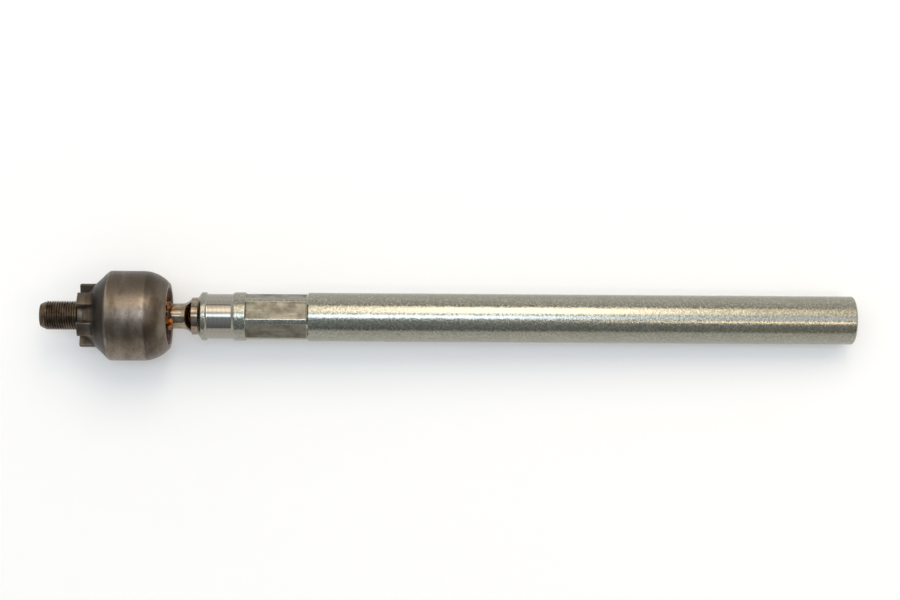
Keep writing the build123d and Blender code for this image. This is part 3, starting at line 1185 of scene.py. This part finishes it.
# %% Moulded acetal
CLOUD_SIZE = 4
GREASED_START, GREASED_FULL = 30, 32
acetal, tree, shader, place = new_finish("moulded_acetal", {"IOR": 1.48})
cloud = add_node(
    tree, "ShaderNodeTexNoise", {"Vector": place, "Scale": cells_of(CLOUD_SIZE), "Detail": 2.0}
).outputs["Fac"]
acetal_colour = add_node(
    tree, "ShaderNodeMix", {0: cloud, 6: linear("#cdbf9c"), 7: linear("#e2dbc6")}, data_type="RGBA"
).outputs[2]
# The front ring's face looks out of the mouth, and there it is covered with grease.
x_place = add_node(tree, "ShaderNodeSeparateXYZ", {"Vector": place}).outputs["X"]
greased = add_node(
    tree,
    "ShaderNodeMapRange",
    {"Value": x_place, "From Min": GREASED_START * MM, "From Max": GREASED_FULL * MM},
).outputs["Result"]
colour = add_node(
    tree, "ShaderNodeMix", {0: greased, 6: acetal_colour, 7: linear("#331707")}, data_type="RGBA"
).outputs[2]
rough = add_node(
    tree, "ShaderNodeMapRange", {"Value": greased, "To Min": 0.42, "To Max": 0.15}
).outputs["Result"]
bump = add_node(
    tree, "ShaderNodeBump", {"Height": cloud, "Distance": 0.05 * MM, "Strength": 1.0}
).outputs["Normal"]
tree.links.new(colour, shader.inputs["Base Color"])
tree.links.new(rough, shader.inputs["Roughness"])
tree.links.new(bump, shader.inputs["Normal"])
for seat in ("rear_ball_seat", "front_ball_seat"):
    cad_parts[seat].material_slots[0].material = acetal
print("acetal is greased from x =", GREASED_START, "mm")

# %% Blued spring steel
HEAT_SIZE = 5
blued_steel, tree, shader, place = new_finish(
    "blued_spring_steel", {"Metallic": 1.0, "Roughness": 0.32}
)
heat = add_node(
    tree, "ShaderNodeTexNoise", {"Vector": place, "Scale": cells_of(HEAT_SIZE), "Detail": 2.0}
).outputs["Fac"]
colour = add_node(
    tree, "ShaderNodeMix", {0: heat, 6: linear("#3c4250"), 7: linear("#6a6258")}, data_type="RGBA"
).outputs[2]
tree.links.new(colour, shader.inputs["Base Color"])
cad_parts["preload_spring"].material_slots[0].material = blued_steel
print("blueing changes over about", HEAT_SIZE, "mm")

# %% [markdown]
# ## The thread in the tube
#
# The outer tie rod end screws into the open end of the tube with an M14x1.5 thread. The bore is
# already there at the thread's outer radius, so the teeth are the inside of a thin closed sleeve,
# whose outer wall is sunk in the tube.

# %% Wind the tube's thread
TUBE_PITCH = 1.5
BORE_STEPS = 40
SLEEVE_ENDS = (TUBE_END - 59.6, TUBE_END - 0.5)
SLEEVE_ROOT_R = THREAD_R - 0.05
SLEEVE_CREST_R = THREAD_R - 0.81
CHAMFER_MOUTH_R = THREAD_R + 0.85
DEEPEST_R = THREAD_R + 0.25
bore_bm = wind_thread(SLEEVE_ENDS, TUBE_PITCH, SLEEVE_ROOT_R, SLEEVE_CREST_R, BORE_STEPS)
for v in bore_bm.verts:
    x, r = along_and_out(v)
    # The lead-in chamfer cuts the first turn away.
    chamfer_r = CHAMFER_MOUTH_R - (TUBE_END - x)
    move_to_radius(v, min(DEEPEST_R, max(r, chamfer_r)))
print("thread in the tube is", round(SLEEVE_ENDS[1] - SLEEVE_ENDS[0], 1), "mm long")

# %% Close it to a sleeve
SLEEVE_R = THREAD_R + 0.3
pulled = bmesh.ops.extrude_edge_only(bore_bm, edges=open_edges(bore_bm))["geom"]
for v in [item for item in pulled if isinstance(item, bmesh.types.BMVert)]:
    move_to_radius(v, SLEEVE_R)
bmesh.ops.bridge_loops(bore_bm, edges=open_edges(bore_bm))
bmesh.ops.recalc_face_normals(bore_bm, faces=bore_bm.faces)
print("sleeve: open edges left", len(open_edges(bore_bm)))
finish_piece(bore_bm, "tube_thread", thread_steel, "rod", THREAD_SHARP_DEG)
